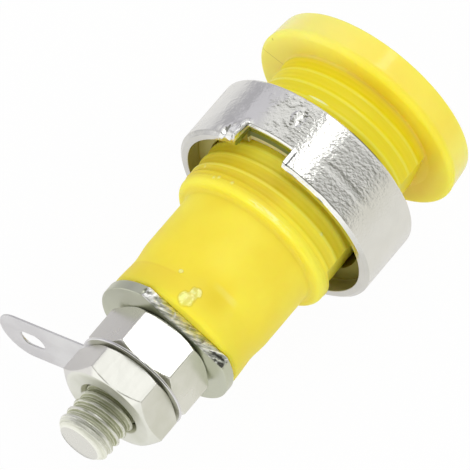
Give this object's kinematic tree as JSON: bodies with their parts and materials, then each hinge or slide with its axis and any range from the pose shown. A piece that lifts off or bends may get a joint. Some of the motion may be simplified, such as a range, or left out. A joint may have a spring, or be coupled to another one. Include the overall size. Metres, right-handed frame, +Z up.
{
  "type": "panel-mount banana socket",
  "caption": "Panel-mount banana socket: moulded insulator with head and threaded shank, ring nut, turned contact with threaded stud, washer, hexagon nuts and solder tag.",
  "frame": {"origin": "on the socket's axis, in the rear face of the head, where the panel seats", "axes": "the plug enters from -Y, the terminal stud points to +Y, +Z is up and the shank's flat faces -X"},
  "size_m": [0.018, 0.0323, 0.016],
  "materials": {
    "yellow_plastic": "soft gloss, slightly translucent",
    "contact_plate": "nickel plated",
    "ring_plate": "nickel plated, fine rippled skin",
    "washer_plate": "nickel plated, sheared flat",
    "nut_plate": "nickel plated",
    "tag_tin": "tinned, satin"
  },
  "bodies": {
    "socket": {"insulator_body": "yellow_plastic", "socket_contact": "contact_plate", "flatted_washer": "washer_plate", "clamp_nut": "nut_plate", "solder_tag": "tag_tin"},
    "ring_nut": {"ring_nut": "ring_plate"},
    "terminal_nut": {"terminal_nut": "nut_plate"}
  },
  "joints": [
    {"name": "ring_nut_travel", "type": "slide", "parent": "socket", "child": "ring_nut", "axis": [0, -1, 0], "range_m": [-0.006, 0.004]},
    {"name": "terminal_nut_travel", "type": "slide", "parent": "socket", "child": "terminal_nut", "axis": [0, 1, 0], "range_m": [0, 0.0042]}
  ]
}
